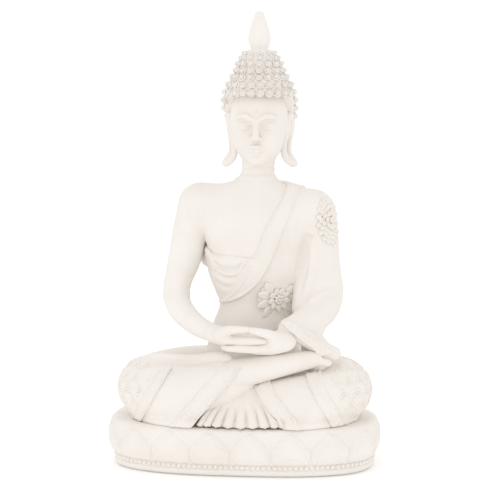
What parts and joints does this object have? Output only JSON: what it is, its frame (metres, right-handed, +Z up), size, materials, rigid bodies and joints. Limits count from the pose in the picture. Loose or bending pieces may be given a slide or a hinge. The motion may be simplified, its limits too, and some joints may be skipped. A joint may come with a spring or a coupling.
{
  "type": "seated meditating buddha statue",
  "caption": "Seated figure in meditation on an oval lotus plinth, hands in the lap, robe over one shoulder, curled hair with a flame finial; free-standing ornament.",
  "frame": {"origin": "middle of the felt's underside, on the surface that the statue stands on", "axes": "+Z up, +X to the viewer's right, the figure faces -Y"},
  "size_m": [0.1246, 0.0706, 0.2],
  "materials": {
    "cast_stone": "matt, fine grained, unpainted white cast stone",
    "felt": "pressed wool felt",
    "pin_steel": "drawn steel rod"
  },
  "bodies": {
    "root": {"base_felt": "felt", "lotus_plinth": "cast_stone", "lotus_petals": "cast_stone", "bead_row": "cast_stone", "seat_pins": "pin_steel", "right_leg": "cast_stone", "left_leg": "cast_stone", "right_foot": "cast_stone", "pleated_hem": "cast_stone", "right_knee_band": "cast_stone", "right_hem_band": "cast_stone", "left_knee_band": "cast_stone", "left_hem_band": "cast_stone", "right_knee_flowers": "cast_stone", "left_knee_flowers": "cast_stone", "torso": "cast_stone", "robe": "cast_stone", "robe_drape": "cast_stone", "shoulder_sash": "cast_stone", "waist_flower": "cast_stone", "right_arm": "cast_stone", "left_sleeve": "cast_stone", "sleeve_cuff": "cast_stone", "shoulder_flower": "cast_stone", "right_hand": "cast_stone", "left_hand": "cast_stone", "neck_pin": "pin_steel", "head": "cast_stone", "right_ear": "cast_stone", "left_ear": "cast_stone", "hair_cap": "cast_stone", "hair_curls": "cast_stone", "flame_finial": "cast_stone"}
  },
  "joints": []
}
